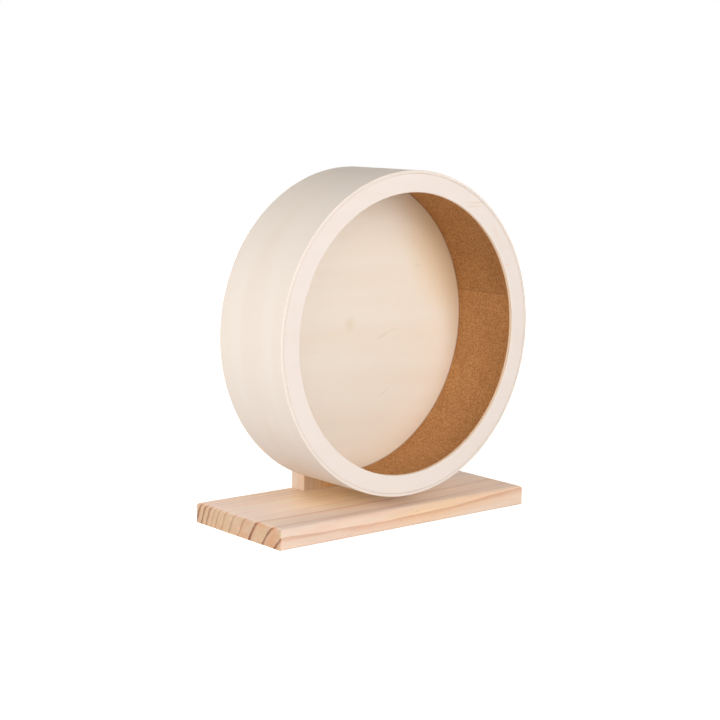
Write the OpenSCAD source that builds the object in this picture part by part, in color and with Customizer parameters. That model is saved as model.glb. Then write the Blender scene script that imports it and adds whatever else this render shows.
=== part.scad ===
// Rodent exercise wheel: a plywood drum lined with cork, which turns on two ball
// bearings in an upright post on a pine base board.
// Millimetres. +Z is up, the open side of the drum faces -Y, and the origin is the
// centre of the base board's underside.

/* [Drum] */
// Outside diameter of the drum
wheel_d = 280; // [240:1:320]
// Width of the drum, front to back
wheel_w = 85; // [60:1:100]
// Thickness of the bent plywood hoop
hoop_t = 2.5; // [2:0.1:5]
// Thickness of the plywood of the front ring and the back panel
panel_t = 3.5; // [3:0.1:6]
// Width of the rim round the opening, hoop edge included
rim_w = 18.5; // [12:0.5:40]
// Thickness of the cork on the running surface
cork_t = 4; // [2:0.5:8]
// Radius of the sanded edges of the hoop and the ring
edge_round = 0.5; // [0.2:0.1:1]
// Where the ends of the cork strip meet, in degrees above +X
cork_joint_angle = 11; // [0:1:359]
// Where the ends of the bent hoop meet, in degrees above +X
hoop_joint_angle = 340; // [0:1:359]
// Gap left between the two ends of a bent strip
joint_gap = 0.3; // [0.1:0.1:1]

/* [Base board] */
// Length of the base board, left to right
base_w = 280; // [200:1:340]
// Depth of the base board, front to back
base_d = 120; // [110:1:200]
// Thickness of the base board
base_t = 18; // [16:1:28]
// Radius of all four edges on top
base_top_round = 4; // [2:0.5:6]
// Radius of the long edges underneath
base_foot_round = 2; // [0.5:0.5:4]
// Radius of the sawn ends' lower and upright edges
base_end_round = 1; // [0.4:0.2:2]

/* [Post] */
// Width of the upright post
post_w = 75; // [60:1:110]
// Thickness of the upright post
post_t = 18; // [16:0.5:26]
// Height of the post above the axle
post_rise = 50; // [25:1:90]
// Radius of the post's two top corners
post_corner_round = 12; // [2:1:25]
// Radius of the post's sanded edges
post_edge_round = 1; // [0.4:0.2:2]
// Distance from the post's back to the back edge of the base
post_inset = 2.2; // [0.5:0.1:12]

/* [Hub] */
// Diameter of the hub block glued to the back panel
hub_d = 70; // [50:1:110]
// Thickness of the hub block
hub_t = 10; // [8:0.5:11]
// Radius of the hub block's rear edge
hub_round = 2; // [0.5:0.5:4]
// Distance from the drum's back to the post
hub_gap = 12.5; // [11.5:0.1:20]
// Diameter of the plug in the middle of the back panel
plug_d = 10; // [6:1:16]

/* [Axle] */
// Thread diameter of the axle bolt, and bore of all that sits on it
axle_d = 8; // [7:0.5:9]
// Diameter of the bolt's domed head
bolt_head_d = 20; // [16:1:26]
// Height of the bolt's domed head
bolt_head_h = 4.6; // [3:0.1:5]
// Length of the square neck under the head
bolt_neck_h = 4.2; // [2:0.1:4.5]
// Length of thread that stands out past the nut
bolt_tail = 4.7; // [2:0.1:12]
// Diameter of the spacers that bear on the inner rings
spacer_d = 12; // [11:0.1:12.2]
// Diameter of the washer under the nut
washer_d = 16; // [14:0.5:18]
// Thickness of the washer under the nut
washer_t = 1.6; // [1:0.1:3]
// Width of the lock nut across its flats
nut_af = 13; // [12.5:0.5:16]
// Height of the nut's six-sided part
nut_hex_h = 6; // [5:0.1:8]
// Height of the round collar that holds the nylon ring
nut_collar_h = 2; // [1.6:0.1:3]

/* [Bearings] */
// Outside diameter of a bearing
bearing_od = 22; // [21:0.5:24]
// Width of a bearing
bearing_w = 7; // [6.5:0.1:7.5]
// Diameter of a ball
ball_d = 3.96; // [3.6:0.01:4.2]
// Number of balls in a bearing
ball_count = 7; // [5:1:7]
// Free width between the shoulders of the two rings
shoulder_gap = 2.7; // [2.4:0.1:2.9]
// Thickness of a bearing shield
shield_t = 0.3; // [0.2:0.05:0.4]
// How far a shield lies under the face of its bearing
shield_set_in = 0.35; // [0.2:0.05:0.5]
// Radial thickness of the ball cage
cage_t = 1.5; // [1.2:0.1:1.7]
// Diameter of the hole between the two bearing seats
web_bore_d = 16; // [13:0.5:20]

/* [Screws and dowels] */
// Diameter of the screws that hold the post
screw_d = 4.5; // [3.5:0.5:5]
// Length of the screws that hold the post
screw_len = 60; // [45:5:80]
// Diameter of a screw's countersunk head
screw_head_d = 8.8; // [7.5:0.1:10]
// Distance between the two screws
screw_pitch = 50; // [42:1:56]
// Diameter of the dowels between base and post
dowel_d = 8; // [6:1:10]
// Length of the dowels between base and post
dowel_len = 30; // [24:1:50]
// How deep a dowel goes into the base
dowel_in_base = 12; // [8:1:14]
// Distance between the two dowels
dowel_pitch = 22; // [16:1:28]

/* [Clearances] */
// Gap between the bottom of the drum and the base board
floor_gap = 9.3; // [4:0.1:30]
// Glue line between the pieces of the drum
glue_gap = 0.05; // [0.02:0.01:0.1]
// Play of the bolt in what sits on it, on the radius
shaft_play = 0.05; // [0.02:0.01:0.1]
// Play of a bearing in its seat, on the radius
seat_play = 0.01; // [0.01:0.01:0.05]
// Play of the balls between the two races, on the radius
ball_play = 0.05; // [0.03:0.01:0.08]
// Play of a ball in its cage pocket, on the radius
pocket_play = 0.12; // [0.06:0.01:0.15]
// Play of the screws and dowels in the wood, on the radius
fixing_play = 0.05; // [0.02:0.01:0.1]
// Play of the bolt's head and square neck in the hub block
head_play = 0.2; // [0.1:0.05:0.3]

/* [Hidden] */

// Small amount by which a cutter runs past the face that it cuts
past = 1;

// The drum, from the front face back
axle_z = base_t + floor_gap + wheel_d / 2;
post_back_y = base_d / 2 - post_inset;
post_front_y = post_back_y - post_t;
drum_back_y = post_front_y - hub_gap;
drum_front_y = drum_back_y - wheel_w;
hoop_outer_r = wheel_d / 2;
hoop_inner_r = hoop_outer_r - hoop_t;
panel_r = hoop_inner_r - glue_gap;
opening_r = hoop_outer_r - rim_w;
cork_outer_r = hoop_inner_r - glue_gap;
cork_inner_r = hoop_inner_r - cork_t;
cork_w = wheel_w - 2 * panel_t - 2 * glue_gap;

// The bearings: the middle of each, and the radii of the rings
front_bearing_y = post_front_y + bearing_w / 2;
rear_bearing_y = post_back_y - bearing_w / 2;
half_w = bearing_w / 2;
ball_r = ball_d / 2;
pitch_r = (axle_d + bearing_od) / 4;
race_r = ball_r + ball_play;
inner_shoulder_r = pitch_r - shoulder_gap / 2;
outer_shoulder_r = pitch_r + shoulder_gap / 2;
shield_seat_depth = 0.25;
shield_z = half_w - shield_set_in - shield_t;
seat_z = shield_z - shield_seat_depth;
shield_seat_r = outer_shoulder_r + 0.65;
shield_clearance = 0.25;
ring_chamfer = 0.3;
pocket_r = ball_r + pocket_play;
cage_web = 0.4;
cage_prong = 0.62 * pocket_r;

// The axle, from the bolt's head back
head_pocket_h = bolt_head_h + head_play;
under_head_y = drum_back_y + head_pocket_h;
hub_back_y = drum_back_y + hub_t;
washer_y = post_back_y;
nut_y = washer_y + washer_t;
nut_h = nut_hex_h + nut_collar_h;
bolt_len = nut_y + nut_h + bolt_tail - under_head_y;
bolt_r = axle_d / 2 - shaft_play;
bolt_chamfer = 1;
collar_r = nut_af / 2 - 0.6;
insert_r = collar_r - 0.8;
insert_t = 2.4;
collar_lip_t = 0.4;
collar_lip_r = insert_r - 0.5;

// The screws and dowels, which stand in the middle of the post's thickness
fixing_y = post_back_y - post_t / 2;
screw_set_in = 0.4;
screw_tip_h = 7;
screw_point_r = 0.4;
screw_cone_h = (screw_head_d - screw_d) / 2;
dowel_chamfer = 1;
dowel_end_room = 0.5;

// Puts its children on the axle, with their own Z pointing back along +Y
module at_axle(y) {
    translate([0, y, axle_z]) rotate([-90, 0, 0]) children();
}

// A rectangle centred on X with rounded corners, small ones below and large ones above
module board_section(w, h, r_low, r_high) {
    translate([-w / 2, r_low]) square([w, h - r_low - r_high]);
    translate([r_low - w / 2, 0]) square([w - 2 * r_low, h / 2]);
    translate([r_high - w / 2, h / 2]) square([w - 2 * r_high, h / 2]);
    for (s = [-1, 1]) {
        translate([s * (w / 2 - r_low), r_low]) circle(r = r_low, $fn = 48);
        translate([s * (w / 2 - r_high), h - r_high]) circle(r = r_high, $fn = 48);
    }
}

// The section of a turned ring from r_in to r_out and h high, with rounded corners
module ring_section(r_in, r_out, h, r_edge) {
    translate([(r_in + r_out) / 2, 0]) board_section(r_out - r_in, h, r_edge, r_edge);
}

// A thin cutter along a radius of the drum, at a in degrees above +X
module joint_cut(a, r_in, r_out, h) {
    rotate([0, 0, -a]) translate([r_in, -joint_gap / 2, -past])
        cube([r_out - r_in, joint_gap, h + 2 * past]);
}

// A plain tube on its own Z axis
module tube(r_in, r_out, h) {
    difference() {
        cylinder(r = r_out, h = h, $fn = 96);
        translate([0, 0, -past]) cylinder(r = r_in, h = h + 2 * past, $fn = 96);
    }
}

// The pine board that everything stands on, with the holes for the screws and dowels
module base_board() {
    color("#e3bf94") difference() {
        intersection() {
            translate([-base_w / 2, 0, 0]) rotate([90, 0, 90]) linear_extrude(base_w)
                board_section(base_d, base_t, base_foot_round, base_top_round);
            translate([0, base_d / 2, 0]) rotate([90, 0, 0]) linear_extrude(base_d)
                board_section(base_w, base_t, base_end_round, base_top_round);
            translate([0, -base_d / 2, 0]) linear_extrude(base_t)
                board_section(base_w, base_d, base_end_round, base_end_round);
        }
        screw_holes();
        dowel_holes();
    }
}

// The pine post, with a bearing seat in each face and a thin web between them
module upright_post() {
    color("#dcae78") difference() {
        intersection() {
            translate([0, post_back_y, base_t]) rotate([90, 0, 0]) linear_extrude(post_t)
                post_outline();
            translate([0, post_front_y, base_t]) linear_extrude(axle_z + post_rise)
                board_section(post_w, post_t, post_edge_round, post_edge_round);
        }
        at_axle(post_front_y - past)
            cylinder(r = bearing_od / 2 + seat_play, h = bearing_w + past, $fn = 96);
        at_axle(post_front_y) cylinder(d = web_bore_d, h = post_t, $fn = 96);
        at_axle(post_back_y - bearing_w)
            cylinder(r = bearing_od / 2 + seat_play, h = bearing_w + past, $fn = 96);
        screw_holes();
        dowel_holes();
    }
}

// The post seen from the front: a straight board with two rounded corners on top
module post_outline() {
    h = axle_z - base_t + post_rise;
    translate([-post_w / 2, 0]) square([post_w, h - post_corner_round]);
    translate([post_corner_round - post_w / 2, 0])
        square([post_w - 2 * post_corner_round, h]);
    for (s = [-1, 1])
        translate([s * (post_w / 2 - post_corner_round), h - post_corner_round])
            circle(r = post_corner_round, $fn = 96);
}

// One countersunk screw, standing head down at the origin, grown by extra all round
module wood_screw(extra) {
    shank_h = screw_len - screw_tip_h;
    cylinder(r1 = screw_head_d / 2 + extra, r2 = screw_d / 2 + extra, h = screw_cone_h, $fn = 48);
    cylinder(r = screw_d / 2 + extra, h = shank_h, $fn = 48);
    translate([0, 0, shank_h])
        cylinder(r1 = screw_d / 2 + extra, r2 = screw_point_r + extra, h = screw_tip_h + extra, $fn = 48);
}

// Copies its children to the two screws, a little above the underside of the base
module screw_places() {
    for (s = [-1, 1]) translate([s * screw_pitch / 2, fixing_y, screw_set_in]) children();
}

// The holes that the screws cut in base and post, open at the underside
module screw_holes() {
    screw_places() {
        wood_screw(fixing_play);
        translate([0, 0, -screw_set_in - past])
            cylinder(r = screw_head_d / 2 + fixing_play, h = screw_set_in + past, $fn = 48);
    }
}

// The two screws that go up through the base into the post
module post_screws() {
    color("#b9bcc0") screw_places() wood_screw(0);
}

// One wooden dowel with chamfered ends
module dowel(r, h) {
    rotate_extrude($fn = 48) polygon([
        [0, 0], [r - dowel_chamfer, 0], [r, dowel_chamfer],
        [r, h - dowel_chamfer], [r - dowel_chamfer, h], [0, h]
    ]);
}

// Copies its children to the two dowels, at their lower ends
module dowel_places() {
    for (s = [-1, 1])
        translate([s * dowel_pitch / 2, fixing_y, base_t - dowel_in_base]) children();
}

// The blind holes for the dowels, a little longer than the dowels
module dowel_holes() {
    dowel_places() translate([0, 0, -dowel_end_room])
        cylinder(r = dowel_d / 2 + fixing_play, h = dowel_len + 2 * dowel_end_room, $fn = 48);
}

// The two dowels that keep the post from turning
module post_dowels() {
    color("#cfa878") dowel_places() dowel(dowel_d / 2, dowel_len);
}

// The bent plywood hoop, its two ends butted
module running_hoop() {
    color("#eadbc8") at_axle(drum_front_y) difference() {
        rotate_extrude($fn = 180)
            ring_section(hoop_inner_r, hoop_outer_r, wheel_w, edge_round);
        joint_cut(hoop_joint_angle, hoop_inner_r - past, hoop_outer_r + past, wheel_w);
    }
}

// The flat ring in the mouth of the hoop, flush with its front edge
module front_ring() {
    color("#f0e3d4") at_axle(drum_front_y) rotate_extrude($fn = 180)
        ring_section(opening_r, panel_r, panel_t, edge_round);
}

// The round panel that closes the back of the drum, with a hole for the plug
module back_panel() {
    color("#ecdccb") at_axle(drum_back_y - panel_t)
        tube(plug_d / 2 + glue_gap, panel_r, panel_t);
}

// The plug that fills the centring hole in the back panel
module centre_plug() {
    color("#e3d0b8") at_axle(drum_back_y - panel_t) cylinder(d = plug_d, h = panel_t - glue_gap, $fn = 96);
}

// The cork strip on the running surface, its two ends butted
module cork_lining() {
    color("#a86f43") at_axle(drum_front_y + panel_t + glue_gap) difference() {
        tube(cork_inner_r, cork_outer_r, cork_w);
        joint_cut(cork_joint_angle, cork_inner_r - past, cork_outer_r + past, cork_w);
    }
}

// The turned block that joins the back panel to the axle bolt
module hub_block() {
    color("#dcc4a2") at_axle(drum_back_y) difference() {
        rotate_extrude($fn = 180) {
            square([hub_d / 2, hub_t - hub_round]);
            square([hub_d / 2 - hub_round, hub_t]);
            translate([hub_d / 2 - hub_round, hub_t - hub_round]) circle(r = hub_round, $fn = 48);
        }
        translate([0, 0, -past])
            cylinder(r = bolt_head_d / 2 + head_play, h = head_pocket_h + past, $fn = 96);
        translate([0, 0, head_pocket_h + bolt_neck_h / 2])
            cube([axle_d + head_play, axle_d + head_play, bolt_neck_h + head_play], center = true);
        translate([0, 0, -past]) cylinder(r = axle_d / 2 + head_play, h = hub_t + 2 * past, $fn = 96);
    }
}

// The bolt that the drum turns on: a domed head, a square neck and a plain shank
module axle_bolt() {
    dome_r = (pow(bolt_head_d / 2, 2) + pow(bolt_head_h, 2)) / (2 * bolt_head_h);
    color("#c3c6c9") at_axle(under_head_y) {
        intersection() {
            translate([0, 0, dome_r - bolt_head_h]) sphere(r = dome_r, $fn = 128);
            translate([0, 0, -bolt_head_h]) cylinder(d = bolt_head_d, h = bolt_head_h, $fn = 96);
        }
        translate([0, 0, bolt_neck_h / 2])
            cube([axle_d, axle_d, bolt_neck_h], center = true);
        rotate_extrude($fn = 96) polygon([
            [0, 0], [bolt_r, 0], [bolt_r, bolt_len - bolt_chamfer],
            [bolt_r - bolt_chamfer, bolt_len], [0, bolt_len]
        ]);
    }
}

// The spacer between the hub block and the front bearing's inner ring
module hub_spacer() {
    color("#c9cbce") at_axle(hub_back_y) tube(axle_d / 2, spacer_d / 2, hub_gap - hub_t);
}

// The spacer between the inner rings of the two bearings
module ring_spacer() {
    color("#c9cbce") at_axle(post_front_y + bearing_w)
        tube(axle_d / 2, spacer_d / 2, post_t - 2 * bearing_w);
}

// The washer between the rear bearing's inner ring and the nut
module axle_washer() {
    color("#c9cbce") at_axle(washer_y) tube(axle_d / 2 + head_play, washer_d / 2, washer_t);
}

// The lock nut: a chamfered hexagon with a round collar that is rolled over its nylon ring
module lock_nut() {
    corner_r = nut_af / sqrt(3);
    flat_r = nut_af / 2 - 0.2;
    bevel_h = (corner_r - flat_r) * tan(30);
    color("#c6c9cc") at_axle(nut_y) difference() {
        union() {
            intersection() {
                cylinder(r = corner_r, h = nut_hex_h, $fn = 6);
                rotate_extrude($fn = 96) polygon([
                    [0, 0], [flat_r, 0], [corner_r, bevel_h],
                    [corner_r, nut_hex_h - bevel_h], [flat_r, nut_hex_h], [0, nut_hex_h]
                ]);
            }
            cylinder(r = collar_r, h = nut_h, $fn = 96);
        }
        translate([0, 0, -past]) cylinder(d = axle_d, h = nut_h + 2 * past, $fn = 96);
        translate([0, 0, nut_h - collar_lip_t - insert_t])
            cylinder(r = insert_r, h = insert_t, $fn = 96);
        translate([0, 0, nut_h - collar_lip_t - past / 2])
            cylinder(r = collar_lip_r, h = collar_lip_t + past, $fn = 96);
    }
}

// The nylon ring in the collar of the nut
module nut_insert() {
    color("#dfe3ea") at_axle(nut_y + nut_h - collar_lip_t - insert_t)
        tube(axle_d / 2, insert_r - shaft_play, insert_t);
}

// The round track that the balls run in, as a cutter for both rings
module race_cut() {
    rotate_extrude($fn = 96) translate([pitch_r, 0]) circle(r = race_r, $fn = 64);
}

// The outer ring of a bearing, with a step at each face for a shield
module outer_ring(y) {
    r = bearing_od / 2;
    color("#b4b7bb") at_axle(y) difference() {
        rotate_extrude($fn = 96) polygon([
            [r - ring_chamfer, -half_w], [r, ring_chamfer - half_w],
            [r, half_w - ring_chamfer], [r - ring_chamfer, half_w],
            [shield_seat_r, half_w], [shield_seat_r, seat_z],
            [outer_shoulder_r, seat_z], [outer_shoulder_r, -seat_z],
            [shield_seat_r, -seat_z], [shield_seat_r, -half_w]
        ]);
        race_cut();
    }
}

// The inner ring of a bearing
module inner_ring(y) {
    r = axle_d / 2;
    color("#c4c7cb") at_axle(y) difference() {
        rotate_extrude($fn = 96) polygon([
            [r + ring_chamfer, -half_w], [inner_shoulder_r, -half_w],
            [inner_shoulder_r, half_w], [r + ring_chamfer, half_w],
            [r, half_w - ring_chamfer], [r, ring_chamfer - half_w]
        ]);
        race_cut();
    }
}

// The two pressed shields of a bearing, each with a rim that seats in the outer ring
module shields(y) {
    flange_r = shield_seat_r - shaft_play;
    flange_w = 0.5;
    color("#a9adb2") at_axle(y) for (side = [0, 1]) mirror([0, 0, side])
        rotate_extrude($fn = 96) polygon([
            [inner_shoulder_r + shield_clearance, shield_z], [flange_r - flange_w, shield_z],
            [flange_r - flange_w, seat_z], [flange_r, seat_z], [flange_r, shield_z + shield_t],
            [inner_shoulder_r + shield_clearance, shield_z + shield_t]
        ]);
}

// The cage of a bearing: a ring open on one side, with a round pocket for each ball
module cage(y, facing) {
    color("#e8e4d8") at_axle(y) mirror([0, 0, facing]) difference() {
        translate([0, 0, -pocket_r - cage_web])
            tube(pitch_r - cage_t / 2, pitch_r + cage_t / 2, pocket_r + cage_web + cage_prong);
        ball_places() sphere(r = pocket_r, $fn = 64);
    }
}

// The balls of a bearing
module balls(y) {
    color("#d6d9dc") at_axle(y) ball_places() sphere(r = ball_r, $fn = 64);
}

// Copies its children to where the balls are
module ball_places() {
    for (i = [0 : ball_count - 1]) rotate([0, 0, i * 360 / ball_count])
        translate([pitch_r, 0, 0]) children();
}

module front_outer_ring() { outer_ring(front_bearing_y); }
module front_inner_ring() { inner_ring(front_bearing_y); }
module front_shields() { shields(front_bearing_y); }
module front_cage() { cage(front_bearing_y, 0); }
module front_balls() { balls(front_bearing_y); }
module rear_outer_ring() { outer_ring(rear_bearing_y); }
module rear_inner_ring() { inner_ring(rear_bearing_y); }
module rear_shields() { shields(rear_bearing_y); }
module rear_cage() { cage(rear_bearing_y, 1); }
module rear_balls() { balls(rear_bearing_y); }

base_board();
upright_post();
post_screws();
post_dowels();
running_hoop();
front_ring();
back_panel();
cork_lining();
hub_block();
centre_plug();
axle_bolt();
hub_spacer();
ring_spacer();
axle_washer();
lock_nut();
nut_insert();
front_outer_ring();
front_inner_ring();
front_shields();
front_cage();
front_balls();
rear_outer_ring();
rear_inner_ring();
rear_shields();
rear_cage();
rear_balls();
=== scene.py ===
# %% [markdown]
# # The looks of a rodent exercise wheel
# The object is a plywood drum, open in front and lined with cork. It turns on two ball bearings in
# an upright pine post, which stands on a flat pine board. Its solids were built to size before,
# so this lesson is about what the eye sees: the camera, the light, the woods, the cork, the bent
# strips and the screw threads.

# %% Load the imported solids
import math

import bpy
from mathutils import Matrix, Vector


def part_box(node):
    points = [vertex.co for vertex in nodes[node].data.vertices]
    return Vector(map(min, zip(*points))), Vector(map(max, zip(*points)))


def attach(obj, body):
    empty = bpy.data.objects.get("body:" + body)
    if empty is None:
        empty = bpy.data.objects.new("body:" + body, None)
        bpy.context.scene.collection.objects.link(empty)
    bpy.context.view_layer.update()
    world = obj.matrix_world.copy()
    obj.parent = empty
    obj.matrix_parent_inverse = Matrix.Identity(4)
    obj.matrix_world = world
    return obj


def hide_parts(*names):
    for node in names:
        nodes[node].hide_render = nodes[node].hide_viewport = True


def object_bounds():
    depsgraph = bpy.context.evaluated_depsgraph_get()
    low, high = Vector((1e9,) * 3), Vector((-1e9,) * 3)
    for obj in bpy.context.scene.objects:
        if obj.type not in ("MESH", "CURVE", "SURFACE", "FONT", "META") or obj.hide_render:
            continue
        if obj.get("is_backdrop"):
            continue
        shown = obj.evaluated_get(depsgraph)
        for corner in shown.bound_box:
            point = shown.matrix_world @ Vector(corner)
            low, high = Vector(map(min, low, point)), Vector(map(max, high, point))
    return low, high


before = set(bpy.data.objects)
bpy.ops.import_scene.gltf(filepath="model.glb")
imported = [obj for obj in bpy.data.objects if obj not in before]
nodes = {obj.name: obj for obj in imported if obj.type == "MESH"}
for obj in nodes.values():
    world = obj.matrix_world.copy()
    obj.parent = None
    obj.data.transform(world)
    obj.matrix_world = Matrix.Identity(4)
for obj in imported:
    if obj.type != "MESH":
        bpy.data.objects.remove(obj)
scene = bpy.context.scene
solid_low, solid_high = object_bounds()
MM = 0.001
print("solids:", len(nodes), "size in mm:", [round(s / MM, 1) for s in solid_high - solid_low])

# %% [markdown]
# ## Sizes taken from the frame
# A finish that follows the drum, such as grain that runs round a bent hoop, needs to know where
# the axle is. It could be typed in, but the boxes of the solids already say it, so it is read
# from them. What no box shows, such as the thickness of the bent hoop, is typed in.

# %% Places on the drum and the boards
def box_mm(node):
    """Lowest and highest corner of a solid, in millimetres."""
    low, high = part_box(node)
    return low / MM, high / MM


hoop_low, hoop_high = box_mm("running_hoop")
ring_low, ring_high = box_mm("front_ring")
panel_low = box_mm("back_panel")[0]
cork_low, cork_high = box_mm("cork_lining")
base_low, base_high = box_mm("base_board")
post_low, post_high = box_mm("upright_post")
AXLE = Vector((0, 0, (hoop_low.z + hoop_high.z) / 2))
HOOP_R = (hoop_high.x - hoop_low.x) / 2
HOOP_T = 2.5
print("axle height", round(AXLE.z, 2), "hoop radius", round(HOOP_R, 2))

# %% [markdown]
# ## The camera
# A picture of this wheel is taken from the left and a little above, with a long lens that keeps
# the circles round. The camera could be aimed with a constraint, but then its tilt to the side
# would be lost, so its place and its three turns are written down and made into one matrix.

# %% Camera
CAMERA_AT = Vector((-0.9429, -1.0987, 0.3548))
CAMERA_TURN = math.radians(40.39)
CAMERA_DOWN = math.radians(8.50)
CAMERA_ROLL = math.radians(1.10)
LENS_MM = 82.96
SENSOR_MM = 36.0

camera = bpy.data.objects.new("camera", bpy.data.cameras.new("camera"))
scene.collection.objects.link(camera)
camera.data.lens = LENS_MM
camera.data.sensor_width = SENSOR_MM
camera.data.clip_start = 0.05
camera.data.clip_end = 50
camera.matrix_world = (
    Matrix.Translation(CAMERA_AT)
    @ Matrix.Rotation(-CAMERA_TURN, 4, "Z")
    @ Matrix.Rotation(math.pi / 2 - CAMERA_DOWN, 4, "X")
    @ Matrix.Rotation(CAMERA_ROLL, 4, "Z")
)
scene.camera = camera
scene.view_settings.view_transform = "Standard"
print("camera is", round((CAMERA_AT - AXLE * MM).length, 3), "m from the axle")

# %% [markdown]
# ## Writing node trees in short lines
# A finish is a tree of many small nodes. It could be drawn by hand in the shader editor, but a
# script can be read, repeated and changed. This helper adds one node per call, wires what it is
# given and hands back an output, so a tree reads like a sum. It serves shaders and Geometry
# Nodes alike, because both share their maths and their textures.

# %% The node helper
class Patch:
    """Adds nodes to a tree. Each call hands back one output socket."""

    def __init__(self, tree):
        self.tree = tree

    def node(self, kind, **settings):
        made = self.tree.nodes.new(kind)
        for name, value in settings.items():
            setattr(made, name, value)
        return made

    def wire(self, value, socket):
        if isinstance(value, bpy.types.NodeSocket):
            self.tree.links.new(value, socket)
        elif value is not None:
            socket.default_value = value

    def add(self, kind, *values, out=0, **settings):
        made = self.node(kind, **settings)
        for value, socket in zip(values, [s for s in made.inputs if s.enabled]):
            self.wire(value, socket)
        return [s for s in made.outputs if s.enabled][out]

    def named(self, kind, inputs, out=0, **settings):
        """One output of a new node whose inputs are given by name."""
        made = self.node(kind, **settings)
        for label, value in inputs.items():
            self.wire(value, made.inputs[label])
        return made.outputs[out]

    def math(self, operation, *values):
        return self.add("ShaderNodeMath", *values, operation=operation)

    def times(self, a, b):
        return self.math("MULTIPLY", a, b)

    def minus(self, a, b):
        return self.math("SUBTRACT", a, b)

    def vector(self, operation, *values):
        return self.add("ShaderNodeVectorMath", *values, operation=operation)

    def from_axle(self, at):
        """How far a place is from the line of the axle."""
        return self.vector("LENGTH", self.vector("MULTIPLY", at, (1.0, 0.0, 1.0)))

    def split(self, vector):
        made = self.node("ShaderNodeSeparateXYZ")
        self.wire(vector, made.inputs[0])
        return list(made.outputs)

    def join(self, x, y, z):
        return self.add("ShaderNodeCombineXYZ", x, y, z)

    def rise(self, value, low, high, floor=0.0, top=1.0):
        """Eases from floor to top while value goes from low to high."""
        return self.add(
            "ShaderNodeMapRange", value, low, high, floor, top, interpolation_type="SMOOTHSTEP"
        )

    def scaled(self, at, size):
        """The place at, counted in cells of that size: one number, or one for each axis."""
        sizes = size if isinstance(size, tuple) else (size,) * 3
        return self.vector("MULTIPLY", at, tuple(1 / s for s in sizes))

    def noise(self, at, size, detail=2.0, rough=0.5, twist=0.0):
        """Soft noise from 0 to 1 with cells of that size."""
        return self.add(
            "ShaderNodeTexNoise", self.scaled(at, size), 1.0, detail, rough, 2.0, twist
        )

    def cells(self, at, size, feature="F1", out=0):
        """Cells of that size: out 0 is the distance from a cell's middle, out 1 a random colour."""
        return self.add(
            "ShaderNodeTexVoronoi", self.scaled(at, size), 1.0, out=out, feature=feature
        )

    def blend(self, share, a, b, mode="MIX"):
        """Colour a turning into colour b as share goes from 0 to 1."""
        return self.add("ShaderNodeMix", share, a, b, data_type="RGBA", blend_type=mode)

    def tinted(self, colour, tint):
        """The colour made darker or lighter by one number."""
        return self.blend(1.0, colour, self.join(tint, tint, tint), "MULTIPLY")

    def weighed(self, *pairs):
        """The sum of value times weight, for pairs of value and weight."""
        total = 0.0
        for value, weight in pairs:
            total = self.math("MULTIPLY_ADD", value, weight, total)
        return total


def tone(red, green, blue):
    """A colour as it shows on a screen, 0 to 255, in the linear values that nodes take."""
    return tuple(((c / 255 + 0.055) / 1.055) ** 2.4 for c in (red, green, blue)) + (1.0,)

# %% [markdown]
# ## The floor and the background
# The wheel stands on white paper that has no visible horizon. A large bright sheet would throw
# its light back on the wood and wash it out. So the floor is plain pale grey to every light ray,
# and only the camera, and what the camera sees in polished metal, gets some white added: less
# near the wheel, so that its shadow stays, and more farther away, where the floor has to vanish.

# %% Floor and world
FLOOR_M, FLOOR_DROP_MM = 12.0, 0.1
FLOOR_GREY = (0.80, 0.80, 0.80, 1.0)
LIFT_NEAR, LIFT_FAR = 0.80, 1.0
NEAR_M, FAR_M = 0.35, 0.90
FILL = 0.09
FILL_TINT = (1.0, 0.80, 0.58, 1.0)


def seen_directly(p):
    """1 for what the camera sees, straight or in a gloss, and 0 for light on its way."""
    path = p.node("ShaderNodeLightPath").outputs
    seen = p.math("MAXIMUM", path["Is Camera Ray"], path["Is Glossy Ray"])
    return p.math("MAXIMUM", seen, path["Is Transmission Ray"])


def make_floor():
    material = bpy.data.materials.new("paper floor")
    material.use_nodes = True
    p = Patch(material.node_tree)
    p.tree.nodes.clear()
    away = p.vector("LENGTH", p.node("ShaderNodeTexCoord").outputs["Object"])
    white = p.rise(away, NEAR_M, FAR_M, LIFT_NEAR, LIFT_FAR)
    lift = p.times(seen_directly(p), white)
    paper = p.add("ShaderNodeBsdfDiffuse", FLOOR_GREY)
    glow = p.add("ShaderNodeEmission", (1.0, 1.0, 1.0, 1.0), lift)
    both = p.add("ShaderNodeAddShader", paper, glow)
    p.wire(both, p.node("ShaderNodeOutputMaterial").inputs["Surface"])
    half, low = FLOOR_M / 2, -FLOOR_DROP_MM * MM
    mesh = bpy.data.meshes.new("floor")
    corners = [(-half, -half, low), (half, -half, low), (half, half, low), (-half, half, low)]
    mesh.from_pydata(corners, [], [(0, 1, 2, 3)])
    floor = bpy.data.objects.new("floor", mesh)
    mesh.materials.append(material)
    scene.collection.objects.link(floor)
    floor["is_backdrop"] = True


def make_world():
    world = bpy.data.worlds.new("studio")
    world.use_nodes = True
    p = Patch(world.node_tree)
    p.tree.nodes.clear()
    white = p.add("ShaderNodeBackground", (1.0, 1.0, 1.0, 1.0), 1.0)
    fill = p.add("ShaderNodeBackground", FILL_TINT, FILL)
    mixed = p.add("ShaderNodeMixShader", seen_directly(p), fill, white)
    p.wire(mixed, p.node("ShaderNodeOutputWorld").inputs["Surface"])
    scene.world = world


make_floor()
make_world()

# %% [markdown]
# ## The lamps
# Product pictures are lit with soft boxes. Here most of them stand low, because the tops of the
# boards are no brighter than the fronts. A small box close by on the left, with a larger one
# behind it, gives the hoop its bright flank. A higher box stands over the camera, two low ones in
# front of the drum, and three at the back and on the right, two of them a little warm. Point
# lamps would give hard shadows, so each box is an area lamp that looks at the middle of the drum.

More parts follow.
